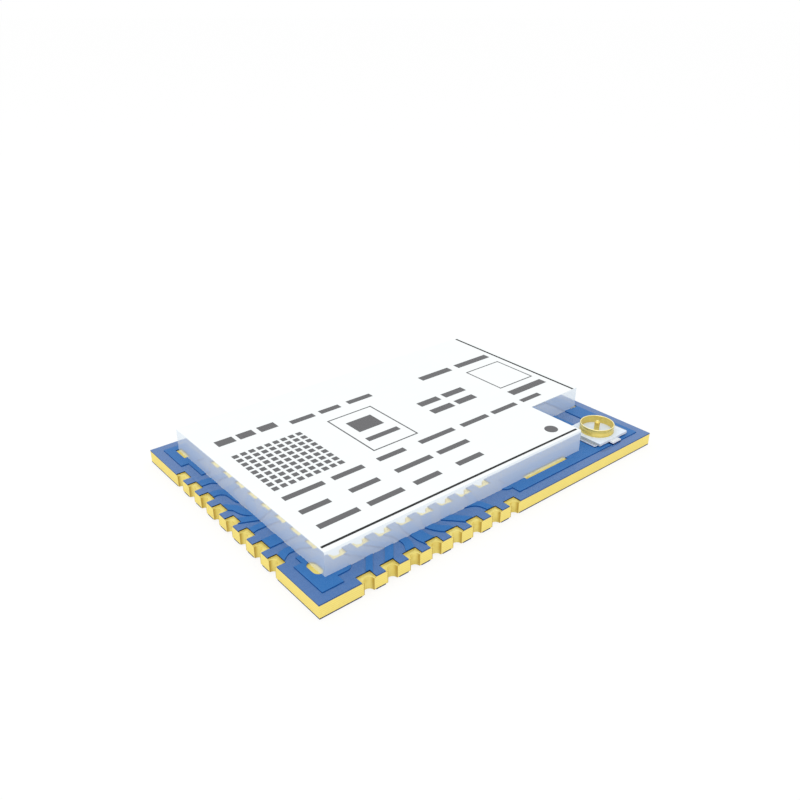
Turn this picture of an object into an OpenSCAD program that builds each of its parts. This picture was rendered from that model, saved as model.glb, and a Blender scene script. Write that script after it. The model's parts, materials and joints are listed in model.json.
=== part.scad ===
// Radio module for soldering to a main board: a two-layer board with plated half-hole pads on three
// edges, a sheet-metal shield can over its circuit, and a small coax jack in the can's notch.
// Millimetres. +X runs along the board towards the jack, +Z is up, and the origin is the centre of
// the underside.

/* [Board] */
// Length of the board, along X
board_length = 22.5; // [20:0.1:25]
// Width of the board, along Y
board_width = 16; // [14.4:0.1:18]
// Thickness of the bare laminate
core_thickness = 0.615; // [0.4:0.005:1.6]
// Thickness of the plated copper on each face
foil_thickness = 0.04; // [0.035:0.005:0.07]
// Thickness of the solder mask
mask_thickness = 0.06; // [0.04:0.005:0.08]
// Gap between the mask and the jack and chips soldered over it
stand_off = 0.03; // [0.01:0.005:0.06]

/* [Edge pads] */
// Distance between neighbouring pads
pad_pitch = 1.27; // [1.1:0.01:1.4]
// Width of a pad's land along the edge
pad_width = 0.76; // [0.7:0.01:0.9]
// Depth of a pad's land in from the edge
pad_depth = 0.46; // [0.4:0.01:0.6]
// Diameter of the plated half hole
pad_hole = 0.5; // [0.3:0.01:0.55]
// Thickness of a pad's lands
land_thickness = 0.02; // [0.015:0.005:0.035]
// Depth of the recess in the laminate that a pad's upper land lies in
land_recess = 0.035; // [0.025:0.005:0.06]
// Thickness of the plating in the half hole
pad_plating = 0.035; // [0.02:0.005:0.05]
// Distance from the board's padded end to the middle of the rows on the long sides
row_from_end = 6.98; // [6.7:0.01:7.5]

/* [Shield can] */
// Gap from the board's padded end to the can
can_end_margin = 1.18; // [1:0.01:1.5]
// Gap from the board's other end to the can
can_far_margin = 0.74; // [0.5:0.01:1]
// Gap from the board's jack side to the can
can_near_margin = 1.25; // [1:0.01:1.5]
// Gap from the board's other long side to the can
can_back_margin = 1.02; // [0.9:0.01:1.3]
// Height of the can
can_height = 1.27; // [1.1:0.01:2.5]
// Thickness of the sheet
can_sheet = 0.15; // [0.1:0.01:0.2]
// Outside radius of the bends round the top
can_bend = 0.05; // [0.03:0.01:0.15]
// Gap between the mask and the can's walls
can_stand_off = 0.01; // [0.005:0.005:0.05]

/* [Coax jack] */
// Distance from the jack's axis to the board's end
jack_from_end = 2.39; // [2:0.01:2.8]
// Distance from the jack's axis to the board's long side
jack_from_side = 1.9; // [1.7:0.01:2.3]
// Room from the jack's axis to the can, along X
jack_room_x = 2.33; // [2:0.01:2.6]
// Room from the jack's axis to the can, along Y
jack_room_y = 2.87; // [2.2:0.01:3.2]
// Length of the insulator, along X
insulator_length = 2.4; // [2.2:0.01:2.6]
// Width of the insulator, along Y
insulator_width = 2.35; // [2.2:0.01:2.6]
// Height of the insulator
insulator_height = 0.17; // [0.15:0.01:0.4]
// Height of the insulator's underside above the soldered faces of the tails
insulator_lift = 0.04; // [0.02:0.01:0.05]
// Rise of the insulator's floor inside the ring
floor_rise = 0.02; // [0.01:0.01:0.04]
// Outside diameter of the ring
ring_diameter = 1.89; // [1.7:0.01:2]
// Wall of the ring
ring_wall = 0.065; // [0.055:0.005:0.11]
// Height of the ring above the insulator
ring_height = 0.44; // [0.35:0.01:0.9]
// Depth of the groove round the ring
ring_groove = 0.035; // [0.02:0.005:0.04]
// Diameter of the centre pin
pin_diameter = 0.3; // [0.25:0.01:0.4]
// Height of the centre pin above the insulator
pin_height = 0.58; // [0.3:0.01:0.9]
// Thickness of the two contacts' tails
tail_thickness = 0.08; // [0.06:0.01:0.1]
// Reach of each ground tail past the insulator
ground_tail_reach = 0.2; // [0.1:0.01:0.3]
// Width of the ground tails, along Y
ground_tail_width = 2; // [1.96:0.01:2.1]
// Reach of the signal tail past the insulator
signal_tail_reach = 0.24; // [0.1:0.01:0.3]
// Width of the signal tail, along X
signal_tail_width = 0.68; // [0.4:0.01:0.7]

/* [Chips] */
// Side of the radio chip
radio_size = 6; // [5:0.1:6.5]
// Height of the radio chip
radio_height = 0.85; // [0.7:0.01:0.9]
// Side of the amplifier chip
amplifier_size = 4; // [3:0.1:4.5]
// Height of the amplifier chip
amplifier_height = 0.85; // [0.7:0.01:0.9]
// Distance between neighbouring chip leads
lead_pitch = 0.5; // [0.4:0.01:0.5]
// Width of a chip lead
lead_width = 0.25; // [0.18:0.01:0.3]
// Length of a chip lead under the chip
lead_length = 0.4; // [0.3:0.01:0.5]
// Height of a chip lead
lead_height = 0.2; // [0.1:0.01:0.25]

/* [Crystals] */
// Length of the main crystal
main_crystal_length = 3.2; // [2.5:0.1:3.4]
// Width of the main crystal
main_crystal_width = 2.5; // [2:0.1:2.7]
// Height of the main crystal's base
main_crystal_height = 0.5; // [0.4:0.01:0.7]
// Length of the clock crystal
clock_crystal_length = 3.2; // [2:0.1:3.4]
// Width of the clock crystal
clock_crystal_width = 1.5; // [1.2:0.1:1.7]
// Height of the clock crystal's base
clock_crystal_height = 0.55; // [0.4:0.01:0.7]
// Thickness of a crystal's lid
crystal_lid = 0.12; // [0.08:0.01:0.2]
// Rim of the base that shows round the lid
crystal_rim = 0.15; // [0.1:0.01:0.3]

/* [Chip parts] */
// Length of the small capacitors
capacitor_length = 1; // [0.9:0.01:1.15]
// Width of the small capacitors
capacitor_width = 0.5; // [0.4:0.01:0.6]
// Height of the small capacitors
capacitor_height = 0.5; // [0.3:0.01:0.6]
// Length of the bulk capacitors
bulk_capacitor_length = 1.6; // [1.4:0.05:1.9]
// Width of the bulk capacitors
bulk_capacitor_width = 0.8; // [0.6:0.05:1]
// Height of the bulk capacitors
bulk_capacitor_height = 0.8; // [0.5:0.01:0.95]
// Length of the resistors
resistor_length = 1; // [0.9:0.01:1.15]
// Width of the resistors
resistor_width = 0.5; // [0.4:0.01:0.6]
// Height of the resistors
resistor_height = 0.35; // [0.25:0.01:0.5]
// Length of the inductors
inductor_length = 1; // [0.9:0.01:1.15]
// Width of the inductors
inductor_width = 0.5; // [0.4:0.01:0.6]
// Height of the inductors
inductor_height = 0.5; // [0.3:0.01:0.6]
// Length of the antenna filter
filter_length = 2; // [1.6:0.05:2.2]
// Width of the antenna filter
filter_width = 1.25; // [0.8:0.05:1.4]
// Height of the antenna filter
filter_height = 0.7; // [0.5:0.01:0.95]
// Length of the metal end on a chip part, as a share of the part's length
end_share = 0.22; // [0.15:0.01:0.3]
// How far a chip part's metal ends stand proud of its body
end_proud = 0.02; // [0.01:0.005:0.03]

/* [Hidden] */
$fn = 48;
// Overshoot of cutting shapes
cut = 0.1;

mask_blue = [0.26, 0.46, 0.74];
gold = [0.91, 0.81, 0.45];
laminate_yellow = [0.96, 0.88, 0.5];
solder_grey = [0.75, 0.76, 0.78];
can_white = [0.93, 0.94, 0.96];
plastic_white = [0.92, 0.93, 0.95];
chip_black = [0.1, 0.1, 0.11];
ceramic_tan = [0.72, 0.62, 0.48];

// Length, width and height of the small parts
main_crystal = [main_crystal_length, main_crystal_width, main_crystal_height];
clock_crystal = [clock_crystal_length, clock_crystal_width, clock_crystal_height];
small_capacitor = [capacitor_length, capacitor_width, capacitor_height];
bulk_capacitor = [bulk_capacitor_length, bulk_capacitor_width, bulk_capacitor_height];
resistor = [resistor_length, resistor_width, resistor_height];
inductor = [inductor_length, inductor_width, inductor_height];
antenna_filter = [filter_length, filter_width, filter_height];

half_length = board_length / 2;
half_width = board_width / 2;

// Levels of the stack, from the underside up
core_bottom = mask_thickness + foil_thickness;
core_top = core_bottom + core_thickness;
foil_top = core_top + foil_thickness;
solder_thickness = mask_thickness + stand_off;
seat = foil_top + solder_thickness;
can_solder = mask_thickness + can_stand_off;
can_seat = foil_top + can_solder;
// Cover of the mask on the flanks of the copper
mask_flank = mask_thickness / 2;

// Walls of the can, and the inner corner of its notch
can_x0 = -half_length + can_end_margin;
can_x1 = half_length - can_far_margin;
can_y0 = -half_width + can_near_margin;
can_y1 = half_width - can_back_margin;
jack_x = half_length - jack_from_end;
jack_y = -half_width + jack_from_side;
notch_x = jack_x - jack_room_x;
notch_y = jack_y + jack_room_y;

// Pads are counted from the jack end of the near side, round the padded end, to the far side
pads_per_row = 8;
pad_count = 3 * pads_per_row;
drill = pad_hole + 2 * pad_plating;
row_x = -half_length + row_from_end;

function pad_name(k) = str("edge_pad_", k < 9 ? "0" : "", k + 1);
function pad_step(k) = (k % pads_per_row - (pads_per_row - 1) / 2) * pad_pitch;
function pad_place(k) =
    k < pads_per_row ? [row_x - pad_step(k), -half_width, 90]
    : k < 2 * pads_per_row ? [-half_length, pad_step(k), 0]
    : [row_x + pad_step(k), half_width, -90];

// A box from a low corner to a high corner in plan, grown on its four sides
module plan_box(low, high, height, grow = 0) {
    translate([low[0] - grow, low[1] - grow, 0])
        cube([high[0] - low[0] + 2 * grow, high[1] - low[1] + 2 * grow, height]);
}

// Stands its children at pad k, with +X pointing from the board's edge inwards
module at_pad(k) {
    place = pad_place(k);
    translate([place[0], place[1], 0]) rotate(place[2]) children();
}

module pad_land(height) {
    translate([0, -pad_width / 2, 0]) cube([pad_depth, pad_width, height]);
}

// Cuts that open a layer at every edge pad
module pad_openings(bottom, height, grow = 0) {
    for (k = [0:pad_count - 1])
        at_pad(k)
            translate([-cut, -pad_width / 2 - grow, bottom])
                cube([pad_depth + cut + grow, pad_width + 2 * grow, height]);
}

// Laminate

module laminate() {
    color(laminate_yellow)
    difference() {
        translate([-half_length, -half_width, core_bottom])
            cube([board_length, board_width, core_thickness]);
        pad_openings(core_top - land_recess, land_recess + cut);
        trace_feet(core_top - land_recess, land_recess + cut);
        for (k = [0:pad_count - 1])
            at_pad(k) translate([0, 0, core_bottom - cut])
                cylinder(d = drill, h = core_thickness + 2 * cut);
    }
}

// Edge pads: a land on each face, joined by the plated wall of the half hole

module edge_pad(k) {
    color(gold)
    at_pad(k)
    difference() {
        union() {
            translate([0, 0, core_top - land_recess]) pad_land(land_thickness);
            translate([0, 0, core_bottom - land_thickness]) pad_land(land_thickness);
            translate([0, 0, core_bottom])
                rotate(-90) rotate_extrude(angle = 180)
                    translate([pad_hole / 2, 0]) square([pad_plating, core_thickness - land_recess]);
        }
        translate([0, 0, core_bottom - land_thickness - cut])
            cylinder(d = pad_hole, h = core_thickness + land_thickness + 2 * cut);
    }
}

// Top copper: pours round the edge, traces in from the pads, and lands for what is soldered on

// Distance from the board's edge to the pour, where no pad is near
pour_inset = 0.56;
// Gap along the edge from the last pad of a row to the pour
pour_gap = 0.55;
// How far the pour shows outside the can beside a row of pads
pour_lip = 0.21;
lip_round = 0.4;
// Where that lip starts along the padded end: back from the last far pad, and past the last near pad
far_lip_back = 0.9;
near_lip_past = 0.06;
// How far the pour runs in under the can
pour_depth = 0.95;
// Clear strip in the pour, from left to right of the jack's axis
feed_gap_left = 0.2;
feed_gap_right = 0.8;
// Gap between the signal land and the pour
signal_gap = 0.16;

row_reach = (pads_per_row - 1) / 2 * pad_pitch + pad_width / 2;
pour_x = half_length - pour_inset;
pour_y = half_width - pour_inset;
signal_half = signal_tail_width / 2;
signal_tail_end = insulator_width / 2 + signal_tail_reach;
signal_land_depth = 0.6;

// Distance of the can's wall on side s from the board's middle
function wall_out(s) = s > 0 ? can_y1 : -can_y0;

// A strip of pour along a wall, with its outer corner rounded where it ends: 1 for high X, -1 for low X
module lip_strip(low, high, end, height, grow) {
    round = lip_round + grow;
    x0 = low[0] - grow;
    x1 = high[0] + grow;
    y0 = low[1] - grow;
    y1 = high[1] + grow;
    plan_box([x0, y0], [x1, y1 - round], height);
    plan_box([end > 0 ? x0 : x0 + round, y0], [end > 0 ? x1 - round : x1, y1], height);
    translate([end > 0 ? x1 - round : x0 + round, y1 - round, 0]) cylinder(r = round, h = height);
}

// The pour at a corner of the padded end: a block in the corner, and a strip along each wall there
module corner_pour(s, lip_end, height, grow) {
    wall = wall_out(s);
    row_end = row_x - row_reach;
    mirror([0, s > 0 ? 0 : 1, 0]) {
        plan_box([-pour_x, row_reach + pour_gap], [row_end - pour_gap, pour_y], height, grow);
        plan_box([can_x0 - pour_lip, lip_end], [can_x0 + pour_depth, wall], height, grow);
        lip_strip([can_x0, wall - pour_depth], [row_end + pad_width / 2, wall + pour_lip], 1, height, grow);
    }
}

// The pour along a long side, from the end of its row of pads to the jack end
module side_pour(s, height, grow) {
    wall = wall_out(s);
    row_end = row_x + row_reach;
    mirror([0, s > 0 ? 0 : 1, 0]) {
        plan_box([row_end + pour_gap, wall - pour_depth], [pour_x, pour_y], height, grow);
        lip_strip([row_end, wall - pour_depth], [row_end + pour_gap, wall + pour_lip], -1, height, grow);
    }
}

module pours(height, grow) {
    difference() {
        union() {
            corner_pour(1, row_reach - far_lip_back, height, grow);
            corner_pour(-1, row_reach + near_lip_past, height, grow);
            side_pour(1, height, grow);
            side_pour(-1, height, grow);
            plan_box([jack_x + feed_gap_right, -pour_y], [pour_x, pour_y], height, grow);
            plan_box([notch_x - pour_depth, -pour_y],
                     [pour_x, jack_y + insulator_width / 2], height, grow);
            plan_box([notch_x - pour_depth, -pour_y],
                     [jack_x - feed_gap_left, notch_y + pour_depth], height, grow);
        }
        translate([jack_x, jack_y - signal_tail_end, -cut])
            plan_box([-signal_half - signal_gap, -1],
                     [signal_half + signal_gap, signal_land_depth + signal_gap],
                     height + 2 * cut, -grow);
    }
}

// Traces: pad in its row, start along the edge, width, heading in degrees from straight in,
// bends as [straight before it, radius, turn], and the last straight; lengths in pad pitches
end_traces = [
    [0, 0, 0.283, 35, [[0.197, 0.394, -35]], 0.433],
    [1, 0, 0.543, 0, [], 0.984],
    [2, 0, 0.268, 20, [[0.079, 0.394, -20]], 0.95],
    [3, -0.18, 0.29, -25, [], 0.87],
    [4, -0.079, 0.299, -45, [[0.284, 0.4, -35], [0.095, 0.828, 80]], 0.12],
    [5, 0, 0.315, 11, [[0.032, 0.492, -96], [0.45, 0.3, 70]], 0.3],
    [6, 0, 0.354, 0, [[0.268, 0.504, -60]], 0.55]
];
side_traces = [
    [1, -0.029, 0.276, 12, [[0.247, 0.625, 62]], 0.5],
    [2, 0.11, 0.315, 43, [], 1.339],
    [3, 0.06, 0.32, 46.5, [[0.22, 0.93, -21]], 0.45],
    [4, 0.079, 0.472, 14, [[0.157, 1.181, -16]], 0.63],
    [5, -0.063, 0.276, -30, [[0.2, 0.65, 38]], 0.6],
    [6, -0.134, 0.26, -39, [], 1.1],
    [7, -0.281, 0.197, -37.5, [], 1.1]
];
// How far a trace starts back inside its pad's land
trace_start = 0.15;
// Diameter of the land at the end of a trace, where it goes through to the underside
via_land = 0.4;
// Room inside the can's walls for the ends of the traces
trace_room = 0.9;
// Clearance between neighbouring parts under the can
part_gap = 0.3;
// Reach of a chip's lands past its side
lead_toe = 0.2;

module trace_run(bends, tail, width, height, grow, i = 0) {
    last = i == len(bends);
    lead = pad_pitch * (last ? tail : bends[i][0]);
    wide = width + 2 * grow;
    translate([0, -wide / 2, 0]) cube([lead, wide, height]);
    if (last) {
        translate([lead, 0, 0]) cylinder(d = via_land + 2 * grow, h = height);
    } else {
        radius = pad_pitch * bends[i][1];
        turn = bends[i][2];
        side = sign(turn);
        translate([lead, side * radius, 0]) {
            rotate(-90 * side) rotate_extrude(angle = turn)
                translate([radius - wide / 2, 0]) square([wide, height]);
            rotate(turn) translate([0, -side * radius, 0])
                trace_run(bends, tail, width, height, grow, i + 1);
        }
    }
}

module row_traces(first_pad, traces, height, grow) {
    for (t = traces) {
        width = pad_pitch * t[2];
        at_pad(first_pad + t[0]) translate([pad_depth, pad_pitch * t[1], 0]) rotate(t[3]) {
            wide = width + 2 * grow;
            translate([-trace_start, -wide / 2, 0]) cube([trace_start, wide, height]);
            trace_run(t[4], t[5], width, height, grow);
        }
    }
}

// Feet that take the traces down to the pads' lands
foot_depth = 0.09;
foot_width = 0.16;

module row_feet(first_pad, traces, bottom, height) {
    for (t = traces)
        at_pad(first_pad + t[0])
            translate([pad_depth, pad_pitch * t[1] - foot_width / 2, bottom])
                cube([foot_depth, foot_width, height]);
}

module trace_feet(bottom, height) {
    row_feet(pads_per_row, end_traces, bottom, height);
    row_feet(0, side_traces, bottom, height);
    mirror([0, 1, 0]) row_feet(0, side_traces, bottom, height);
}

module routes(height, grow) {
    pours(height, grow);
    row_traces(pads_per_row, end_traces, height, grow);
    row_traces(0, side_traces, height, grow);
    mirror([0, 1, 0]) row_traces(0, side_traces, height, grow);
}

// Lands that the can stands on, as low and high corners
land_out = 0.17;
round_land_out = 0.24;
land_in = 0.35;
corner_land = 1;
side_land = 3.2;
side_land_from_notch = 1.13;
corner_land_from_side = 0.27;
land_past_corner = 0.06;
can_lands = [
    [[can_x0 - land_out, can_y1 - corner_land], [can_x0 + land_in, can_y1 + land_past_corner]],
    [[notch_x - side_land_from_notch - side_land, can_y0 - land_out],
     [notch_x - side_land_from_notch, can_y0 + land_in]],
    [[notch_x - side_land_from_notch - side_land, can_y1 - land_in],
     [notch_x - side_land_from_notch, can_y1 + land_out]],
    [[can_x1 - land_in, notch_y - land_past_corner], [can_x1 + land_out, notch_y + 2 * corner_land]]
];

// All the can's lands: the squared ones, and one with round ends by the near corner
module can_land_shapes(bottom, height) {
    round_end = (round_land_out + land_in) / 2;
    corner_boxes(can_lands, bottom, height);
    translate([can_x0 - round_land_out, can_y0 + corner_land_from_side, bottom]) {
        translate([0, round_end, 0]) cube([2 * round_end, corner_land - 2 * round_end, height]);
        for (y = [round_end, corner_land - round_end])
            translate([round_end, y, 0]) cylinder(r = round_end, h = height);
    }
}

// Lands of the jack: under the two ground tails and under the signal tail
jack_land_margin = 0.03;
ground_land_depth = 0.45;
plate_half = insulator_length / 2 + ground_tail_reach;
jack_lands = [
    [[jack_x - plate_half, jack_y - ground_tail_width / 2],
     [jack_x - plate_half + ground_land_depth, jack_y + ground_tail_width / 2]],
    [[jack_x + plate_half - ground_land_depth, jack_y - ground_tail_width / 2],
     [jack_x + plate_half, jack_y + ground_tail_width / 2]],
    [[jack_x - signal_half, jack_y - signal_tail_end],
     [jack_x + signal_half, jack_y - signal_tail_end + signal_land_depth]]
];

// Places of the parts under the can, set out from its inner walls and from each other
room_x0 = can_x0 + can_sheet + trace_room;
room_x1 = can_x1 - can_sheet - trace_room;
room_y0 = can_y0 + can_sheet + trace_room;
room_y1 = can_y1 - can_sheet - trace_room;
capacitor_step = capacitor_length + part_gap;
chip_gap = lead_toe + part_gap;

radio_at = [room_x0 + capacitor_width + chip_gap + radio_size / 2,
            room_y0 + capacitor_width + chip_gap + radio_size / 2];
crystal_y = radio_at[1] + radio_size / 2 + chip_gap;
main_crystal_at = [radio_at[0] - radio_size / 2 + main_crystal_length / 2,
                   crystal_y + main_crystal_width / 2];
clock_crystal_at = [main_crystal_at[0] + (main_crystal_length + clock_crystal_length) / 2 + part_gap,
                    crystal_y + clock_crystal_width / 2];
amplifier_at = [room_x1 - filter_length - chip_gap - amplifier_size / 2,
                room_y1 - capacitor_width - chip_gap - amplifier_size / 2];
filter_at = [room_x1 - filter_length / 2, amplifier_at[1]];

small_capacitors = concat(
    [for (i = [0:3]) [room_x0 + capacitor_width / 2, radio_at[1] + (i - 1.5) * capacitor_step, 90]],
    [for (i = [0:3]) [radio_at[0] + (i - 1.5) * capacitor_step, room_y0 + capacitor_width / 2, 0]],
    [for (i = [0:2]) [amplifier_at[0] - amplifier_size / 2 - chip_gap - capacitor_width / 2,
                      amplifier_at[1] + (i - 1) * capacitor_step, 90]],
    [for (i = [0:2]) [amplifier_at[0] + (i - 1) * capacitor_step, room_y1 - capacitor_width / 2, 0]]
);
bulk_capacitors = [for (s = [-1, 1])
    [amplifier_at[0] + s * (bulk_capacitor_length + part_gap) / 2,
     amplifier_at[1] - amplifier_size / 2 - chip_gap - bulk_capacitor_width / 2, 0]];
resistors = [for (i = [0:2])
    [radio_at[0] + radio_size / 2 + chip_gap + resistor_width / 2,
     radio_at[1] + (i - 1) * (resistor_length + part_gap), 90]];
inductors = [for (s = [-1, 1], j = [0:1])
    [filter_at[0] + s * (inductor_length + part_gap) / 2,
     filter_at[1] + (filter_width + inductor_width) / 2 + part_gap + j * (inductor_width + part_gap), 0]];

// Leads of a flat square package as [x, y, size along x, size along y], each reaching toe past its side
radio_side_leads = 10;
amplifier_side_leads = 4;
exposed_pad_share = 0.72;

function package_leads(at, size, side_leads, toe) = concat(
    [for (i = [0:side_leads - 1], s = [-1, 1])
        let (u = (i - (side_leads - 1) / 2) * lead_pitch)
        [at[0] + u - lead_width / 2,
         at[1] + (s < 0 ? -size / 2 - toe : size / 2 - lead_length), lead_width, lead_length + toe]],
    [for (i = [0:side_leads - 1], s = [-1, 1])
        let (u = (i - (side_leads - 1) / 2) * lead_pitch)
        [at[0] + (s < 0 ? -size / 2 - toe : size / 2 - lead_length),
         at[1] + u - lead_width / 2, lead_length + toe, lead_width]],
    [let (pad = exposed_pad_share * (size - 2 * lead_length))
        [at[0] - pad / 2, at[1] - pad / 2, pad, pad]]
);

// Metal ends of a chip part in the same form: at is [x, y, 0 or 90 degrees]
function part_ends(at, size) =
    let (end = end_share * size[0], turned = at[2] == 90)
    [for (s = [-1, 1])
        let (low = s < 0 ? -size[0] / 2 : size[0] / 2 - end)
        turned ? [at[0] - size[1] / 2, at[1] + low, size[1], end]
               : [at[0] + low, at[1] - size[1] / 2, end, size[1]]];
function all_ends(places, size) = [for (at = places) each part_ends(at, size)];

// Four corner pads of a crystal in the same form
crystal_pad_length = 0.8;
crystal_pad_width = 0.55;
function crystal_pads(at, size) =
    [for (sx = [-1, 1], sy = [-1, 1])
        [at[0] + (sx < 0 ? -size[0] / 2 : size[0] / 2 - crystal_pad_length),
         at[1] + (sy < 0 ? -size[1] / 2 : size[1] / 2 - crystal_pad_width),
         crystal_pad_length, crystal_pad_width]];

chip_terminals = concat(
    package_leads(radio_at, radio_size, radio_side_leads, lead_toe),
    package_leads(amplifier_at, amplifier_size, amplifier_side_leads, lead_toe),
    crystal_pads(main_crystal_at, main_crystal),
    crystal_pads(clock_crystal_at, clock_crystal),
    part_ends([filter_at[0], filter_at[1], 0], antenna_filter),
    all_ends(small_capacitors, small_capacitor),
    all_ends(bulk_capacitors, bulk_capacitor),
    all_ends(resistors, resistor),
    all_ends(inductors, inductor)
);
terminal_opening = 0.05;

module terminals(list, bottom, height, grow = 0) {
    for (t = list)
        translate([0, 0, bottom]) plan_box([t[0], t[1]], [t[0] + t[2], t[1] + t[3]], height, grow);
}

module corner_boxes(list, bottom, height, grow = 0) {
    for (b = list)
        translate([0, 0, bottom]) plan_box(b[0], b[1], height, grow);
}

module top_copper() {
    color(gold) {
        difference() {
            translate([0, 0, core_top]) routes(foil_thickness, 0);
            pad_openings(core_top - cut, foil_thickness + 2 * cut, mask_flank);
        }
        trace_feet(core_top - land_recess, land_recess);
        corner_boxes([jack_lands[2]], core_top, foil_thickness);
        terminals(chip_terminals, core_top, foil_thickness);
    }
}

// The mask lies on the laminate and rises over the copper, so each trace shows as a low step
module top_solder_mask() {
    depth = foil_thickness + mask_thickness;
    color(mask_blue)
    difference() {
        union() {
            translate([-half_length, -half_width, core_top])
                cube([board_length, board_width, mask_thickness]);
            translate([0, 0, core_top]) routes(depth, mask_flank);
        }
        translate([0, 0, core_top - cut]) difference() {
            routes(foil_thickness + cut, 0);
            pad_openings(-cut, foil_thickness + 3 * cut, mask_flank);
        }
        pad_openings(core_top - cut, depth + 2 * cut);
        can_land_shapes(core_top - cut, depth + 2 * cut);
        corner_boxes(jack_lands, core_top - cut, depth + 2 * cut, jack_land_margin);
        terminals(chip_terminals, core_top - cut, depth + 2 * cut, terminal_opening);
    }
}

// Bottom copper and mask: one ground plane, clear of the pads' lands

plane_gap = 0.34;

module ground_plane(height, grow) {
    plan_box([-half_length + pad_depth + plane_gap, -half_width + pad_depth + plane_gap],
             [pour_x, half_width - pad_depth - plane_gap], height, grow);
}

module bottom_copper() {
    color(gold) translate([0, 0, mask_thickness]) ground_plane(foil_thickness, 0);
}

module bottom_solder_mask() {
    color(mask_blue)
    difference() {
        union() {
            translate([-half_length, -half_width, foil_thickness])
                cube([board_length, board_width, mask_thickness]);
            ground_plane(core_bottom, mask_flank);
        }
        translate([0, 0, mask_thickness]) ground_plane(foil_thickness + cut, 0);
        pad_openings(-cut, core_bottom + 2 * cut);
    }
}

// Shield can: an L in plan, open below, with bent edges round the top

module can_plan(inset, height) {
    plan_box([can_x0, can_y0], [notch_x, can_y1], height, -inset);
    plan_box([can_x0, notch_y], [can_x1, can_y1], height, -inset);
}

module bent_profile(width, height) {
    square([width, height - can_bend]);
    translate([can_bend, 0]) square([width - 2 * can_bend, height]);
    for (x = [can_bend, width - can_bend])
        translate([x, height - can_bend]) circle(can_bend);
}

module bent_block(low, high, height) {
    size = high - low;
    translate([low[0], low[1], 0])
    intersection() {
        translate([0, size[1], 0]) rotate([90, 0, 0])
            linear_extrude(size[1]) bent_profile(size[0], height);
        rotate([90, 0, 90]) linear_extrude(size[0]) bent_profile(size[1], height);
    }
}

module shield_can() {
    color(can_white)
    translate([0, 0, can_seat])
    difference() {
        union() {
            bent_block([can_x0, can_y0], [notch_x, can_y1], can_height);
            bent_block([can_x0, notch_y], [can_x1, can_y1], can_height);
        }
        translate([0, 0, -cut]) can_plan(can_sheet, can_height - can_sheet + cut);
    }
}

module shield_solder() {
    color(solder_grey)
    translate([0, 0, foil_top])
    intersection() {
        difference() {
            can_plan(0, can_solder);
            translate([0, 0, -cut]) can_plan(can_sheet, can_solder + 2 * cut);
        }
        can_land_shapes(0, can_solder);
    }
}

// Coax jack: a stamped ground contact and a signal contact, moulded into a flat insulator

ring_inner = ring_diameter / 2 - ring_wall;
ring_top = insulator_height + ring_height;
ring_lip = 0.02;
foot_taper = 0.02;
groove_low = insulator_height + 0.2 * ring_height;
groove_high = insulator_height + 0.8 * ring_height;
contact_gap = 0.15;
// Clearance over the signal tail where it passes under the ring
tail_clearance = 0.04;
plate_hole = 0.4;

module at_jack() {
    translate([jack_x, jack_y, seat]) children();
}

// The ring's foot narrows upwards, so the insulator moulded round it holds it down
module ring_profile() {
    outer = ring_diameter / 2;
    neck = outer - ring_groove;
    groove_mid = (groove_low + groove_high) / 2;
    polygon([
        [ring_inner - foot_taper, tail_thickness], [neck + foot_taper, tail_thickness],
        [neck, insulator_height],
        [outer, insulator_height], [outer, groove_low],
        [neck, groove_mid], [outer, groove_high], [outer, ring_top - ring_lip],
        [outer - ring_lip, ring_top], [ring_inner + ring_lip, ring_top], [ring_inner, ring_top - ring_lip],
        [ring_inner, insulator_height + floor_rise]
    ]);
}

module ground_shape() {
    slot = signal_half + contact_gap;
    difference() {
        translate([-plate_half, -ground_tail_width / 2, 0])
            cube([2 * plate_half, ground_tail_width, tail_thickness]);
        translate([-slot, -ground_tail_width / 2 - cut, -cut])
            cube([2 * slot, ground_tail_width / 2 + cut, tail_thickness + 2 * cut]);
        translate([0, 0, -cut]) cylinder(r = max(plate_hole, slot), h = tail_thickness + 2 * cut);
    }
    difference() {
        rotate_extrude() ring_profile();
        translate([-slot, -ring_diameter, tail_thickness - cut])
            cube([2 * slot, ring_diameter, tail_clearance + cut]);
    }
}

module signal_shape() {
    translate([-signal_half, -signal_tail_end, 0])
        cube([2 * signal_half, signal_tail_end + pin_diameter / 2, tail_thickness]);
    pin_round = insulator_height + pin_height - pin_diameter / 2;
    cylinder(d = pin_diameter, h = pin_round);
    translate([0, 0, pin_round]) sphere(d = pin_diameter);
}

module jack_ground_contact() {
    color(gold) at_jack() ground_shape();
}

module jack_signal_contact() {
    color(gold) at_jack() signal_shape();
}

module jack_insulator() {
    color(plastic_white)
    at_jack()
    difference() {
        translate([0, 0, insulator_lift]) {
            translate([-insulator_length / 2, -insulator_width / 2, 0])
                cube([insulator_length, insulator_width, insulator_height - insulator_lift]);
            cylinder(r = ring_inner + ring_wall / 2, h = insulator_height + floor_rise - insulator_lift);
        }
        ground_shape();
        signal_shape();
    }
}

module jack_solder() {
    color(solder_grey) corner_boxes(jack_lands, foil_top, solder_thickness);
}

// Chips: a moulded body with flush leads round its lower edge

module package_body(at, size, height, side_leads) {
    color(chip_black)
    translate([0, 0, seat])
    difference() {
        plan_box(at, at, height, size / 2);
        terminals(package_leads(at, size, side_leads, cut), -cut, lead_height + cut);
    }
}

module package_metal(at, size, side_leads) {
    color(solder_grey) terminals(package_leads(at, size, side_leads, 0), seat, lead_height);
}

module radio_chip() {
    package_body(radio_at, radio_size, radio_height, radio_side_leads);
}

module radio_chip_leads() {
    package_metal(radio_at, radio_size, radio_side_leads);
}

module amplifier_chip() {
    package_body(amplifier_at, amplifier_size, amplifier_height, amplifier_side_leads);
}

module amplifier_chip_leads() {
    package_metal(amplifier_at, amplifier_size, amplifier_side_leads);
}

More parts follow.
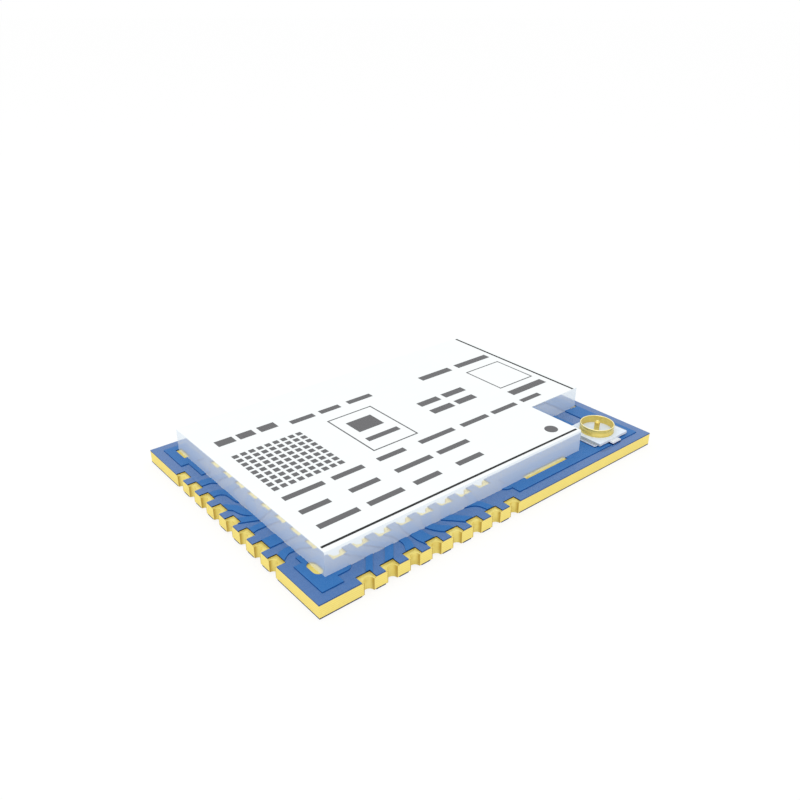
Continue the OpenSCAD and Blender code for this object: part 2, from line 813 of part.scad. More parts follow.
// Crystals: a ceramic base with a metal lid on it

module crystal_base(at, size) {
    color(ceramic_tan)
    translate([at[0] - size[0] / 2, at[1] - size[1] / 2, seat]) cube(size);
}

module crystal_cover(at, size) {
    color(solder_grey)
    translate([at[0] - size[0] / 2 + crystal_rim, at[1] - size[1] / 2 + crystal_rim, seat + size[2]])
        cube([size[0] - 2 * crystal_rim, size[1] - 2 * crystal_rim, crystal_lid]);
}

module main_crystal_base() {
    crystal_base(main_crystal_at, main_crystal);
}

module main_crystal_lid() {
    crystal_cover(main_crystal_at, main_crystal);
}

module clock_crystal_base() {
    crystal_base(clock_crystal_at, clock_crystal);
}

module clock_crystal_lid() {
    crystal_cover(clock_crystal_at, clock_crystal);
}

// Chip parts: a block between two metal ends, lying along X or turned along Y

module part_bodies(places, size) {
    length = (1 - 2 * end_share) * size[0];
    for (at = places)
        translate([at[0], at[1], seat + end_proud]) rotate(at[2])
            translate([-length / 2, -size[1] / 2 + end_proud, 0])
                cube([length, size[1] - 2 * end_proud, size[2] - 2 * end_proud]);
}

module part_metal(places, size) {
    color(solder_grey) terminals(all_ends(places, size), seat, size[2]);
}

module filter_body() {
    color(ceramic_tan) part_bodies([[filter_at[0], filter_at[1], 0]], antenna_filter);
}

module filter_ends() {
    part_metal([[filter_at[0], filter_at[1], 0]], antenna_filter);
}

module capacitor_bodies() {
    color(ceramic_tan) {
        part_bodies(small_capacitors, small_capacitor);
        part_bodies(bulk_capacitors, bulk_capacitor);
    }
}

module capacitor_ends() {
    part_metal(small_capacitors, small_capacitor);
    part_metal(bulk_capacitors, bulk_capacitor);
}

module resistor_bodies() {
    color(chip_black) part_bodies(resistors, resistor);
}

module resistor_ends() {
    part_metal(resistors, resistor);
}

module inductor_bodies() {
    color(plastic_white) part_bodies(inductors, inductor);
}

module inductor_ends() {
    part_metal(inductors, inductor);
}

module chip_solder() {
    color(solder_grey) terminals(chip_terminals, foil_top, solder_thickness);
}

laminate();
top_copper();
bottom_copper();
top_solder_mask();
bottom_solder_mask();
for (k = [0:pad_count - 1])
    edge_pad(k);
shield_can();
shield_solder();
jack_insulator();
jack_ground_contact();
jack_signal_contact();
jack_solder();
radio_chip();
radio_chip_leads();
amplifier_chip();
amplifier_chip_leads();
main_crystal_base();
main_crystal_lid();
clock_crystal_base();
clock_crystal_lid();
filter_body();
filter_ends();
capacitor_bodies();
capacitor_ends();
resistor_bodies();
resistor_ends();
inductor_bodies();
inductor_ends();
chip_solder();
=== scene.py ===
import json
import math

import bmesh
import bpy
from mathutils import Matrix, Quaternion, Vector


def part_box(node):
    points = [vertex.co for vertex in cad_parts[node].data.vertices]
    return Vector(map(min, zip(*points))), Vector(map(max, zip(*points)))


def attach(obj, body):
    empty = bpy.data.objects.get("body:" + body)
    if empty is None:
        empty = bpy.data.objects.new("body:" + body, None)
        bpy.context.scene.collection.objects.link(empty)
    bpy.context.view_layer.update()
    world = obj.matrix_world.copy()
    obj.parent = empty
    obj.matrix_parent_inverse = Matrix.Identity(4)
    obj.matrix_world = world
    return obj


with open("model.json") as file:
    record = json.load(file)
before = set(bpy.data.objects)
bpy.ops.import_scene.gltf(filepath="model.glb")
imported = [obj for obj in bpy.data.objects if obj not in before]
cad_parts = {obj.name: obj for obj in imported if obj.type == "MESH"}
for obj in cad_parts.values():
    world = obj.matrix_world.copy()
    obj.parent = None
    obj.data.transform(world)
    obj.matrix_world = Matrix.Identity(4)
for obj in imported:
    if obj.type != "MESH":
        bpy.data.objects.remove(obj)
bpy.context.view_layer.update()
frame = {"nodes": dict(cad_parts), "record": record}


# Board core
# Woven glass cloth pressed with epoxy into a thin sheet, then routed to size with half holes drilled
# along three edges. Only its cut edge shows, pale yellow with the plies as fine lines.

mm = 0.001


class Wire:
    """A socket of a finish. Arithmetic between wires and numbers adds Math nodes."""

    def __init__(self, finish, socket):
        self.finish = finish
        self.socket = socket

    def math(self, operation, *others):
        return self.finish.node("ShaderNodeMath", {"operation": operation}, dict(enumerate((self, *others))))

    def __add__(self, other):
        return self.math("ADD", other)

    def __radd__(self, other):
        return self.math("ADD", other)

    def __sub__(self, other):
        return self.math("SUBTRACT", other)

    def __rsub__(self, other):
        return self.finish.node("ShaderNodeMath", {"operation": "SUBTRACT"}, {0: other, 1: self})

    def __mul__(self, other):
        return self.math("MULTIPLY", other)

    def __rmul__(self, other):
        return self.math("MULTIPLY", other)


class Finish:
    """A material made of nodes, whose patterns are laid out in the part's own millimetres."""

    def __init__(self, name):
        self.material = bpy.data.materials.new(name)
        self.material.use_nodes = True
        self.tree = self.material.node_tree
        self.shader = self.tree.nodes["Principled BSDF"]
        metres = self.node("ShaderNodeTexCoord", out="Object")
        self.at = self.node("ShaderNodeVectorMath", {"operation": "SCALE"}, {0: metres, "Scale": 1 / mm})
        self.x, self.y, self.z = self.node("ShaderNodeSeparateXYZ", {}, {0: self.at}, ("X", "Y", "Z"))

    def node(self, kind, settings=None, inputs=None, out=0):
        """Adds a node, sets it up, feeds its sockets, and returns its output, or several for a tuple."""
        made = self.tree.nodes.new(kind)
        for name, value in (settings or {}).items():
            setattr(made, name, value)
        for key, value in (inputs or {}).items():
            self.feed(made.inputs[key], value)
        if isinstance(out, tuple):
            return tuple(Wire(self, made.outputs[name]) for name in out)
        return Wire(self, made.outputs[out])

    def feed(self, socket, value):
        """Links a wire to a socket, or sets the socket to a plain value."""
        if isinstance(value, Wire):
            self.tree.links.new(value.socket, socket)
        else:
            socket.default_value = value

    def surface(self, sockets):
        """Feeds the sockets of the shader itself."""
        for name, value in sockets.items():
            self.feed(self.shader.inputs[name], value)

    def noise(self, scale, detail=3.0, at=None):
        """Cloudy noise around 0.5, with about scale blotches in a millimetre."""
        sockets = {"Vector": at or self.at, "Scale": scale, "Detail": detail}
        return self.node("ShaderNodeTexNoise", {}, sockets)

    def bands(self, axis, pitch, settings):
        """Soft stripes across an axis, a pitch apart in millimetres."""
        pitch_at_scale_one = 0.314
        sockets = {"Vector": self.at, "Scale": pitch_at_scale_one / pitch, **settings}
        return self.node("ShaderNodeTexWave", {"bands_direction": axis}, sockets, 1)

    def stretched(self, x, y, z):
        """The place on the part with each axis multiplied, for streaks and plies."""
        return self.node("ShaderNodeVectorMath", {"operation": "MULTIPLY"}, {0: self.at, 1: (x, y, z)})

    def ramp(self, value, low, high):
        """0 below low, 1 above high, and smooth between them."""
        sockets = {"Value": value, "From Min": low, "From Max": high}
        return self.node("ShaderNodeMapRange", {"interpolation_type": "SMOOTHSTEP"}, sockets)

    def square_to(self, axis, low, high):
        """1 on faces square to an axis, 0 on faces along it; low and high bound the change."""
        normal = self.node("ShaderNodeNewGeometry", out="True Normal")
        share = self.node("ShaderNodeSeparateXYZ", {}, {0: normal}, axis)
        return self.ramp(share.math("ABSOLUTE"), low, high)

    def level(self):
        """1 on faces that lie level, 0 on upright ones."""
        return self.square_to("Z", 0.4, 0.6)

    def blend(self, share, first, second):
        """The first colour where share is 0, the second where it is 1."""
        return self.node("ShaderNodeMix", {"data_type": "RGBA"}, {0: share, 6: first, 7: second}, 2)

    def bump(self, height, depth):
        """A normal that follows height, where depth is the relief in millimetres."""
        return self.node("ShaderNodeBump", {}, {"Strength": 1.0, "Distance": depth * mm, "Height": height})


def seen(red, green, blue):
    """A colour as a picture shows it, 0 to 255, turned into the light it stands for."""
    def light(value):
        share = value / 255
        return share / 12.92 if share <= 0.04045 else ((share + 0.055) / 1.055) ** 2.4
    return (light(red), light(green), light(blue), 1.0)


def dress(finish, *names):
    """Gives CAD nodes a finish."""
    for name in names:
        mesh = frame["nodes"][name].data
        mesh.materials.clear()
        mesh.materials.append(finish.material)


ply_pitch = 0.1
deep_glass = seen(231, 208, 106)
pale_glass = seen(255, 237, 142)
dusty_glass = seen(251, 230, 124)

cut_glass = Finish("cut_glass_cloth")
plies = cut_glass.bands("Z", ply_pitch, {"Distortion": 1.2, "Detail": 2.0, "Detail Scale": 2.0})
fibres = cut_glass.noise(9.0, 4.0, cut_glass.stretched(1.0, 1.0, 3.0))
dust = cut_glass.ramp(cut_glass.noise(1.3), 0.35, 0.75)
cut_glass_tone = cut_glass.blend(plies * 0.35 + fibres * 0.65, deep_glass, pale_glass)
cut_glass.surface({
    "Base Color": cut_glass.blend(dust * 0.35, cut_glass_tone, dusty_glass),
    "Roughness": 0.55 + 0.25 * fibres,
    "Specular IOR Level": 0.25,
    "Normal": cut_glass.bump(plies * 0.4 + fibres, 0.004),
})
dress(cut_glass, "laminate")


# Edge pads
# Half holes plated with copper and gold, each joined to a flat land on both faces of the board, so
# that the module can be soldered down by its edges. The plating is satin. Inside the half holes, near
# the board's edge, a darker gold is painted on as shade.

def nodes_in(slot):
    """The CAD nodes that the record gives this material slot."""
    return [row["node"] for row in frame["record"]["subparts"] if row["material_slot"] == slot]


half_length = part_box("laminate")[1].x / mm
half_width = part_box("laminate")[1].y / mm


def past_outline(finish):
    """How far a place lies past the board's outline, in millimetres; below 0 inside it."""
    along = finish.x.math("ABSOLUTE") - half_length
    across = finish.y.math("ABSOLUTE") - half_width
    return along.math("MAXIMUM", across)


barrel_shade_depth = 0.2
deep_gold = seen(232, 210, 108)
pale_gold = seen(246, 228, 132)
barrel_shade_gold = seen(196, 166, 70)

gold = Finish("gold_plate")
gold_grain = gold.noise(26.0, 4.0)
gold_clouds = gold.ramp(gold.noise(1.6), 0.3, 0.7)
# Upright faces close to the board's outline get a darker gold: painted shade in the half holes.
barrel_end_shade = gold.ramp(past_outline(gold), -barrel_shade_depth, 0.0) * (1 - gold.level())
gold.surface({
    "Base Color": gold.blend(barrel_end_shade, gold.blend(gold_clouds, deep_gold, pale_gold), barrel_shade_gold),
    "Metallic": 0.3,
    "Specular IOR Level": 0.3,
    "Roughness": 0.34 + 0.16 * gold_grain,
    "Normal": gold.bump(gold_grain, 0.0012),
})
dress(gold, *[name for name in nodes_in("gold_plate") if name.startswith("edge_pad")])


# Top foil
# Copper foil etched into the ground pour, the curved traces and the lands. The lacquer covers most of
# it. The lands that stay open carry the same gold as the edge pads.

dress(gold, "top_copper")


# Bottom foil
# The ground plane of the underside, bare rolled copper etched back from the board's edge. The mask
# covers it all, so only a cut through the board would show its warm colour.

copper = Finish("bare_copper")
copper_streaks = copper.noise(3.0, 4.0, copper.stretched(0.3, 6.0, 1.0))
copper.surface({
    "Base Color": copper.blend(copper_streaks, seen(176, 104, 70), seen(214, 142, 98)),
    "Metallic": 1.0,
    "Roughness": 0.3 + 0.2 * copper_streaks,
    "Normal": copper.bump(copper_streaks, 0.001),
})
dress(copper, *nodes_in("inner_copper"))


# Solder mask
# Blue lacquer laid over both faces and opened at the pads and lands. It sinks between the traces, so
# they show as low steps, brighter over copper and greyer over bare board. Its upright walls are painted
# darker as shade: near black in the openings, deep blue at the steps and at the board's edge.

mask_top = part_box("top_solder_mask")[1].z / mm
mask_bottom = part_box("bottom_solder_mask")[1].z / mm
copper_step = 0.04
bare_top = mask_top - copper_step
weave_pitch = 0.42
deep_bare_blue = seen(35, 96, 161)
pale_bare_blue = seen(45, 103, 170)
deep_copper_blue = seen(45, 107, 172)
pale_copper_blue = seen(59, 118, 184)
opening_wall_shade = seen(3, 5, 9)
step_wall_shade = seen(22, 84, 160)
lower_rim_shade = seen(26, 38, 78)
upper_rim_shade = seen(34, 74, 134)

mask = Finish("blue_solder_mask")
level = mask.level()
over_traces = mask.ramp(mask.z, bare_top + 0.3 * copper_step, bare_top + 0.7 * copper_step)
under_plane = 1 - mask.ramp(mask.z, 0.3 * copper_step, 0.7 * copper_step)
over_copper = over_traces + under_plane
clouds = mask.noise(0.9)
pores = mask.noise(16.0, 2.0)
warp = mask.bands("X", weave_pitch, {"Distortion": 0.6, "Detail Scale": 3.0})
weft = mask.bands("Y", weave_pitch, {"Distortion": 0.6, "Detail Scale": 3.0})
bare_tone = mask.blend((warp + weft) * 0.25 + clouds * 0.5, deep_bare_blue, pale_bare_blue)
copper_tone = mask.blend(clouds, deep_copper_blue, pale_copper_blue)
flat_tone = mask.blend(over_copper, bare_tone, copper_tone)
above_bare = mask.ramp(mask.z, bare_top - 0.1 * copper_step, bare_top + 0.1 * copper_step)
at_outline = mask.ramp(past_outline(mask), -0.02, -0.01)
top_side = mask.ramp(mask.z, mask_bottom, bare_top - copper_step)
# Painted shade on the upright walls: near black in the pad openings, dark blue at the board's edge, darker
# still along the underside's edge, and blue at the trace steps.
wall_shade_tone = mask.blend(at_outline, opening_wall_shade, mask.blend(top_side, lower_rim_shade, upper_rim_shade))
wall_shade_tone = mask.blend(above_bare, wall_shade_tone, step_wall_shade)
mask.surface({
    "Base Color": mask.blend(level, wall_shade_tone, flat_tone),
    "Roughness": 0.2 + 0.15 * pores,
    "Specular IOR Level": 0.12,
    "Coat Weight": (1 - over_copper) * level,
    "Coat IOR": 1.6,
    "Coat Roughness": 0.02,
    "Normal": mask.bump(pores * 0.3 + clouds * 0.7, 0.0004),
})
dress(mask, *nodes_in("solder_mask"))


# Solder
# Reflowed tin films that hold the chip parts, the jack and the can to their lands. Bright, with the
# frosty grain that the alloy takes as it sets. Under the jack their thin walls are painted dark blue as
# shade.

deep_tin = seen(206, 211, 217)
pale_tin = seen(236, 240, 244)
blue_shade_wall = seen(30, 76, 150)

# Under the jack the films' upright walls are painted dark blue: painted shade.
for name, wall in (("chip_solder", deep_tin), ("jack_solder", blue_shade_wall), ("shield_solder", deep_tin)):
    solder = Finish(name + "_film")
    frost = solder.noise(20.0, 4.0)
    solder.surface({
        "Base Color": solder.blend(solder.level(), wall, solder.blend(frost, deep_tin, pale_tin)),
        "Metallic": 0.5,
        "Roughness": 0.25 + 0.25 * frost,
        "Normal": solder.bump(frost, 0.002),
    })
    dress(solder, name)


# Parts under the can
# Black moulded chips and resistors, fired ceramic bodies, white coil cores, and the tinned ends that
# join them to the board. The can hides them all.

mould = Finish("black_chip_mould")
mould_grain = mould.noise(24.0, 4.0)
mould.surface({
    "Base Color": mould.blend(mould_grain, seen(34, 34, 36), seen(62, 62, 64)),
    "Roughness": 0.5 + 0.25 * mould_grain,
    "Normal": mould.bump(mould_grain, 0.003),
})
dress(mould, *nodes_in("chip_mould"))

tinned = Finish("tinned_ends")
tin_grain = tinned.noise(16.0, 4.0)
tinned.surface({
    "Base Color": tinned.blend(tin_grain, seen(190, 192, 194), seen(224, 225, 226)),
    "Metallic": 0.9,
    "Roughness": 0.3 + 0.2 * tin_grain,
    "Normal": tinned.bump(tin_grain, 0.0015),
})
dress(tinned, *nodes_in("tin_plate"))

for slot, dark, pale in (
    ("ceramic", seen(168, 140, 104), seen(206, 182, 146)),
    ("white_ceramic", seen(212, 214, 214), seen(240, 241, 240)),
):
    fired = Finish("fired_" + slot)
    speckle = fired.noise(18.0, 4.0)
    fired.surface({
        "Base Color": fired.blend(speckle, dark, pale),
        "Roughness": 0.55 + 0.25 * speckle,
        "Normal": fired.bump(speckle, 0.002),
    })
    dress(fired, *nodes_in(slot))


# Coax jack base
# A flat base moulded in white plastic round the jack's two contacts. Its front and back walls are
# painted grey as shade, with a painted white highlight along their lower edge. The walls over the side
# tails are painted grey low down, as the tails' shade, and nearly white above as a painted highlight.

plastic_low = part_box("jack_insulator")[0].z / mm
edge_heights = (plastic_low + 0.02, plastic_low + 0.05)
tail_heights = (plastic_low + 0.11, plastic_low + 0.13)
painted_edge_highlight = seen(252, 254, 255)
front_wall_shade = seen(222, 227, 233)
tail_shade_wall = seen(182, 191, 200)
highlight_over_tail = seen(246, 250, 254)

jack_plastic = Finish("white_jack_plastic")
plastic_grain = jack_plastic.noise(6.0, 3.0)
plastic_tone = jack_plastic.blend(plastic_grain, seen(217, 230, 249), seen(229, 241, 255))
# Upright walls carry painted shade, with painted highlights at the front walls' foot and above the tails.
front_side = jack_plastic.blend(jack_plastic.ramp(jack_plastic.z, *edge_heights), painted_edge_highlight, front_wall_shade)
tail_side = jack_plastic.blend(jack_plastic.ramp(jack_plastic.z, *tail_heights), tail_shade_wall, highlight_over_tail)
plastic_side = jack_plastic.blend(jack_plastic.square_to("X", 0.6, 0.8), front_side, tail_side)
jack_plastic.surface({
    "Base Color": jack_plastic.blend(jack_plastic.level(), plastic_side, plastic_tone),
    "Roughness": 0.38 + 0.14 * plastic_grain,
    "Normal": jack_plastic.bump(plastic_grain, 0.0004),
})
dress(jack_plastic, *nodes_in("jack_plastic"))


# Coax jack contacts
# Two stampings held by the base: the ring with its side tails for the cable's screen, and the centre
# pin with its tail for the signal. Ring and pin are gold plated, the tails are tinned for soldering.
# A pale highlight is painted round the top of the ring and the pin's tip, and the tails' upright
# edges are painted white as highlight. The ground contact's tails are painted grey as shade.

tail_thickness = 0.09
rim_start = 0.02
rim_full = 0.005
deep_gilt = seen(221, 194, 98)
pale_gilt = seen(243, 222, 131)
painted_rim_highlight = seen(255, 244, 180)
tail_edge_highlight = seen(250, 252, 255)

for name, dark_tail, pale_tail in (
    # The ground tails take a darker grey than the signal tail: painted shade.
    ("jack_ground_contact", seen(138, 146, 153), seen(172, 180, 186)),
    ("jack_signal_contact", seen(206, 212, 218), seen(238, 242, 246)),
):
    contact_low, contact_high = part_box(name)
    tail_top = contact_low.z / mm + tail_thickness
    rim_top = contact_high.z / mm
    contact = Finish(name + "_plating")
    turning = contact.noise(3.0, 3.0, contact.stretched(0.4, 0.4, 14.0))
    brushing = contact.ramp(contact.noise(4.0, 3.0, contact.stretched(9.0, 0.3, 1.0)), 0.35, 0.65)
    wear = contact.noise(5.0, 3.0)
    gilt = contact.ramp(contact.z, tail_top, tail_top + 0.01)
    # The top of each contact is painted pale: a painted highlight.
    rim = contact.ramp(contact.z, rim_top - rim_start, rim_top - rim_full)
    gilt_tone = contact.blend(rim, contact.blend(wear, deep_gilt, pale_gilt), painted_rim_highlight)
    # The tails' upright faces are painted white: a painted highlight.
    tail_tone = contact.blend(contact.level(), tail_edge_highlight, contact.blend(brushing, dark_tail, pale_tail))
    contact.surface({
        "Base Color": contact.blend(gilt, tail_tone, gilt_tone),
        "Metallic": 0.8 * gilt,
        "Roughness": 0.22 + 0.14 * turning,
        "Specular IOR Level": 0.3,
        "Normal": contact.bump(turning, 0.0004),
    })
    dress(contact, name)


# Shield can
# One sheet of tinned steel, cut to an L and bent down on every side, then soldered over the circuit
# to keep the radio's noise in. It is bright enough to mirror the board in its walls.

can = Finish("tinned_can_sheet")
rolling = can.noise(2.2, 4.0, can.stretched(0.12, 5.0, 5.0))
tin_bloom = can.noise(0.5, 2.0)
can.surface({
    "Base Color": can.blend(rolling * 0.6 + tin_bloom * 0.4, seen(244, 249, 250), seen(252, 255, 255)),
    "Metallic": 0.5,
    "Roughness": 0.01 + 0.02 * rolling,
    "Normal": can.bump(rolling, 0.0001),
})
dress(can, "shield_can")


# Foot of the can
# The lowest edge of the can's walls, of the same tinned steel. It is pressed down into the lacquer until
# it meets the lands, so that no light shows under the sheet, and stands just proud of the solder there.

def thicken(build, faces, height):
    """Turns flat faces into closed slabs that reach up by height, or down where it is below 0."""
    added = bmesh.ops.extrude_face_region(build, geom=faces)["geom"]
    corners = [part for part in added if isinstance(part, bmesh.types.BMVert)]
    bmesh.ops.translate(build, vec=(0, 0, height), verts=corners)


foot_drop = 0.0705 * mm
foot_proud = 0.003 * mm
weld_distance = 0.0005 * mm
level_error = 0.001 * mm

foot_build = bmesh.new()
foot_build.from_mesh(frame["nodes"]["shield_can"].data)
bmesh.ops.remove_doubles(foot_build, verts=foot_build.verts, dist=weld_distance)
sheet_end = min(vert.co.z for vert in foot_build.verts) + level_error
above_end = [face for face in foot_build.faces if face.calc_center_median().z > sheet_end]
bmesh.ops.delete(foot_build, geom=above_end, context="FACES")
thicken(foot_build, foot_build.faces[:], -foot_drop)
bmesh.ops.recalc_face_normals(foot_build, faces=foot_build.faces)
foot_build.normal_update()
for vert in foot_build.verts:
    vert.co.x += vert.normal.x * foot_proud
    vert.co.y += vert.normal.y * foot_proud
foot_mesh = bpy.data.meshes.new("can_foot")
foot_build.to_mesh(foot_mesh)
foot_build.free()
foot_mesh.materials.append(can.material)
can_foot = bpy.data.objects.new("can_foot", foot_mesh)
bpy.context.scene.collection.objects.link(can_foot)
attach(can_foot, "root")


# Marks on the can
# Dark ink printed on the can's top: two fine register lines, the dot that marks the first pad, rows of
# plain bars, an even chequered field and two plain frames. The register lines sit slightly askew.

can_low, can_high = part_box("shield_can")
ink_depth = 0.006 * mm


def ink_finish(name, dark, pale):
    """A matt ink with a fine grain."""
    made = Finish(name)
    grain = made.noise(18.0, 3.0)
    made.surface({
        "Base Color": made.blend(grain, dark, pale),
        "Roughness": 0.5 + 0.2 * grain,
        "Specular IOR Level": 0.3,
        "Normal": made.bump(grain, 0.001),
    })
    return made


ink = ink_finish("printing_ink", seen(88, 88, 90), seen(114, 114, 116))
black_ink = ink_finish("black_printing_ink", seen(14, 14, 15), seen(36, 36, 38))


def on_can(piece):
    """Puts a printed piece in the scene, carried by the board."""
    bpy.context.scene.collection.objects.link(piece)
    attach(piece, "root")


def printed(name, finish, shapes):
    """A piece of ink made of closed slabs. Each shape is a list of plan points in millimetres."""
    mesh = bpy.data.meshes.new(name)
    build = bmesh.new()
    for shape in shapes:
        lower_face = build.faces.new([build.verts.new((x * mm, y * mm, can_high.z)) for x, y in shape])
        thicken(build, [lower_face], ink_depth)
    bmesh.ops.recalc_face_normals(build, faces=build.faces)
    build.to_mesh(mesh)
    build.free()
    mesh.materials.append(finish.material)
    on_can(bpy.data.objects.new(name, mesh))


def bar(x0, y0, x1, y1):
    """A rectangle between two corners."""
    return [(x0, y0), (x1, y0), (x1, y1), (x0, y1)]


def disc(x, y, radius, points=40):
    """A round dot."""
    turns = [2 * math.pi * k / points for k in range(points)]
    return [(x + radius * math.cos(t), y + radius * math.sin(t)) for t in turns]


def stroke(start, end, width):
    """A straight line of ink, square at its ends."""
    along = (Vector(end) - Vector(start)).normalized()
    side = Vector((-along.y, along.x)) * width / 2
    return [Vector(start) - side, Vector(end) - side, Vector(end) + side, Vector(start) + side]


def outline(x0, y0, x1, y1, line):
    """Four bars that make a frame just inside the given corners."""
    return [bar(x0, y0, x1, y0 + line), bar(x0, y1 - line, x1, y1),
            bar(x0, y0 + line, x0 + line, y1 - line), bar(x1 - line, y0 + line, x1, y1 - line)]


register_width = 0.135
near_line_y = can_low.y / mm + 0.26
end_line_x = can_high.x / mm - 0.28
near_line = ((-10.0, near_line_y + 0.066), (6.38, near_line_y - 0.05))
end_line = ((end_line_x - 0.069, -3.23), (end_line_x - 0.014, 6.83))
printed("register_lines", black_ink, [stroke(*near_line, register_width), stroke(*end_line, register_width)])

dot_centre = (5.34, -5.69)
dot_radius = 0.365
printed("first_pad_dot", ink, [disc(*dot_centre, dot_radius)])


def word_rows_tree():
    """A node tree that prints rows of plain bars, each of a length picked at random by a seed."""
    tree = bpy.data.node_groups.new("word_rows", "GeometryNodeTree")
    tree.interface.new_socket("Geometry", in_out="OUTPUT", socket_type="NodeSocketGeometry")
    sockets = {}
    for name, kind in (
        ("Corner", "Vector"), ("Words", "Int"), ("Rows", "Int"), ("Word Pitch", "Float"),
        ("Row Pitch", "Float"), ("Shortest", "Float"), ("Longest", "Float"), ("Height", "Float"),
        ("Depth", "Float"), ("Seed", "Int"), ("Ink", "Material"),
    ):
        sockets[name] = tree.interface.new_socket(name, in_out="INPUT", socket_type="NodeSocket" + kind)
    given = tree.nodes.new("NodeGroupInput").outputs
    result = tree.nodes.new("NodeGroupOutput")

    def add(kind, settings, inputs, out=0):
        made = tree.nodes.new(kind)
        for key, value in settings.items():
            setattr(made, key, value)
        for key, value in inputs.items():
            if isinstance(value, bpy.types.NodeSocket):
                tree.links.new(value, made.inputs[key])
            else:
                made.inputs[key].default_value = value
        return made.outputs[out]

    def less_one(count):
        return add("ShaderNodeMath", {"operation": "SUBTRACT"}, {0: count, 1: 1.0})

    def times(first, second):
        return add("ShaderNodeMath", {"operation": "MULTIPLY"}, {0: first, 1: second})

    across = times(less_one(given["Words"]), given["Word Pitch"])
    down = times(less_one(given["Rows"]), given["Row Pitch"])
    grid = add("GeometryNodeMeshGrid", {}, {
        "Size X": across, "Size Y": down, "Vertices X": given["Words"], "Vertices Y": given["Rows"]})
    middle = add("ShaderNodeCombineXYZ", {}, {"X": times(across, 0.5), "Y": times(down, -0.5)})
    place = add("ShaderNodeVectorMath", {"operation": "ADD"}, {0: given["Corner"], 1: middle})
    starts = add("GeometryNodeSetPosition", {}, {"Geometry": grid, "Offset": place})
    share = add("FunctionNodeRandomValue", {"data_type": "FLOAT"}, {
        2: given["Shortest"], 3: given["Longest"], "Seed": given["Seed"]}, 1)
    length = times(share, given["Word Pitch"])
    slab = add("GeometryNodeMeshCube", {}, {"Size": (1.0, 1.0, 1.0)})
    from_left_foot = add("GeometryNodeSetPosition", {}, {"Geometry": slab, "Offset": (0.5, 0.0, 0.5)})
    size = add("ShaderNodeCombineXYZ", {}, {"X": length, "Y": given["Height"], "Z": given["Depth"]})
    words = add("GeometryNodeInstanceOnPoints", {}, {
        "Points": starts, "Instance": from_left_foot, "Scale": size})
    solid = add("GeometryNodeRealizeInstances", {}, {"Geometry": words})
    inked = add("GeometryNodeSetMaterial", {}, {"Geometry": solid, "Material": given["Ink"]})
    tree.links.new(inked, result.inputs[0])
    return tree, {name: socket.identifier for name, socket in sockets.items()}


word_rows, word_inputs = word_rows_tree()


def print_rows(name, left, top, words, rows, pitch, height, shares, seed):
    """Prints rows of bars from the left end of the top row, in millimetres; shares bound a bar's length."""
    carrier = bpy.data.objects.new(name + "_rows", bpy.data.meshes.new(name + "_rows"))
    bpy.context.scene.collection.objects.link(carrier)
    modifier = carrier.modifiers.new("rows", "NODES")
    modifier.node_group = word_rows
    for key, value in {
        "Corner": (left * mm, top * mm, can_high.z), "Words": words, "Rows": rows,
        "Word Pitch": pitch[0] * mm, "Row Pitch": pitch[1] * mm, "Shortest": shares[0], "Longest": shares[1],
        "Height": height * mm, "Seed": seed, "Depth": ink_depth, "Ink": ink.material,
    }.items():
        modifier[word_inputs[key]] = value
    depsgraph = bpy.context.evaluated_depsgraph_get()
    mesh = bpy.data.meshes.new_from_object(carrier.evaluated_get(depsgraph))
    mesh.name = name
    bpy.data.objects.remove(carrier)
    on_can(bpy.data.objects.new(name, mesh))


print_rows("heading_bars", left=-9.24, top=4.08, words=3, rows=1, pitch=(1.25, 1.0), height=0.6,
           shares=(0.74, 0.84), seed=4)
print_rows("subheading_bars", left=-5.0, top=3.7, words=3, rows=1, pitch=(1.9, 1.0), height=0.4,
           shares=(0.7, 0.88), seed=9)
print_rows("chequered_field", left=-9.24, top=2.38, words=9, rows=9, pitch=(0.47, 0.47), height=0.31,
           shares=(0.66, 0.66), seed=1)
print_rows("body_bars", left=-9.28, top=-2.36, words=4, rows=3, pitch=(2.75, 1.4), height=0.36,
           shares=(0.55, 0.88), seed=12)
print_rows("side_bars", left=1.9, top=-2.4, words=3, rows=1, pitch=(2.35, 1.4), height=0.36,
           shares=(0.62, 0.88), seed=21)
print_rows("upper_bars", left=4.1, top=3.48, words=2, rows=1, pitch=(2.95, 1.0), height=0.5,
           shares=(0.8, 0.92), seed=30)
print_rows("middle_bars", left=1.75, top=0.9, words=2, rows=2, pitch=(1.85, 1.1), height=0.5,
           shares=(0.7, 0.9), seed=6)

frame_line = 0.08
tall_frame = outline(-3.4, -1.55, -0.43, 2.59, frame_line)
block_in_frame = bar(-2.75, 0.5, -1.1, 1.75)
bar_in_frame = bar(-2.95, -0.6, -0.85, -0.22)
square_frame = outline(6.9, -0.5, 9.68, 2.45, frame_line)
bar_by_frame = bar(6.86, -1.6, 9.68, -1.05)
printed("plain_frames", ink, [*tall_frame, block_in_frame, bar_in_frame, *square_frame, bar_by_frame])


# Floor, light and camera
# A wide white table under an even white sky, with one soft lamp over the left shoulder. The camera
# stands in front of the padded corner and looks down on the board.

reach = 3.0
floor_mesh = bpy.data.meshes.new("floor")
floor_corners = [(-reach, -reach, 0), (reach, -reach, 0), (reach, reach, 0), (-reach, reach, 0)]
floor_mesh.from_pydata(floor_corners, [], [(0, 1, 2, 3)])
floor = bpy.data.objects.new("floor", floor_mesh)
bpy.context.scene.collection.objects.link(floor)

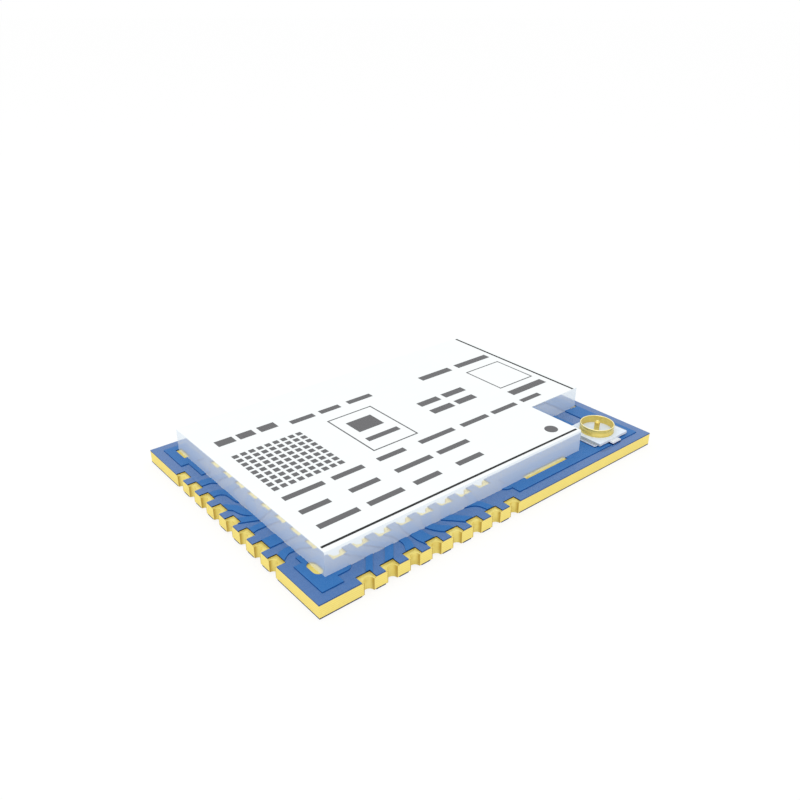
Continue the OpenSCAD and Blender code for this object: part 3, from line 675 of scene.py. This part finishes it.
white = (1.0, 1.0, 1.0, 1.0)
mirrored_white = seen(232, 240, 250)
white_share = 0.8
table = Finish("white_table")
table.surface({"Base Color": (0.86, 0.86, 0.86, 1.0), "Roughness": 0.9, "Specular IOR Level": 0.0})
direct, glossy, through = table.node(
    "ShaderNodeLightPath", out=("Is Camera Ray", "Is Glossy Ray", "Is Transmission Ray"))
looked_at = direct.math("MAXIMUM", glossy).math("MAXIMUM", through)
glow_tone = table.blend(glossy, white, mirrored_white)
glow = table.node("ShaderNodeEmission", {}, {"Color": glow_tone, "Strength": 1.03})
shaded = Wire(table, table.shader.outputs[0])
backdrop = table.node("ShaderNodeMixShader", {}, {0: looked_at * white_share, 1: shaded, 2: glow})
table.feed(table.tree.nodes["Material Output"].inputs["Surface"], backdrop)
floor_mesh.materials.append(table.material)

world = bpy.data.worlds.new("white_sky")
world.use_nodes = True
sky = world.node_tree.nodes["Background"].inputs
sky["Color"].default_value = white
sky["Strength"].default_value = 1.0
bpy.context.scene.world = world

lamp_data = bpy.data.lights.new("soft_lamp", "AREA")
lamp_data.shape = "DISK"
lamp_data.size = 0.16
lamp_data.energy = 0.07
lamp = bpy.data.objects.new("soft_lamp", lamp_data)
lamp.location = (-0.12, -0.06, 0.18)
lamp.rotation_mode = "QUATERNION"
lamp.rotation_quaternion = (-lamp.location).to_track_quat("-Z", "Y")
bpy.context.scene.collection.objects.link(lamp)

azimuth = math.radians(-39.825)
elevation = math.radians(26.335)
roll = math.radians(0.205)
aim = Vector((3.047, 4.143, bare_top)) * mm
camera_distance = 47.764 * mm
back = Vector((math.sin(azimuth) * math.cos(elevation), -math.cos(azimuth) * math.cos(elevation),
               math.sin(elevation)))
camera_data = bpy.data.cameras.new("camera")
camera_data.sensor_width = 36.0
camera_data.lens = 35.245
camera_data.clip_start = 1 * mm
camera_data.clip_end = 20.0
camera = bpy.data.objects.new("camera", camera_data)
camera.rotation_mode = "QUATERNION"
camera.location = aim + back * camera_distance
camera.rotation_quaternion = (-back).to_track_quat("-Z", "Y") @ Quaternion((0, 0, 1), roll)
bpy.context.scene.collection.objects.link(camera)
bpy.context.scene.camera = camera
bpy.context.scene.view_settings.view_transform = "Standard"
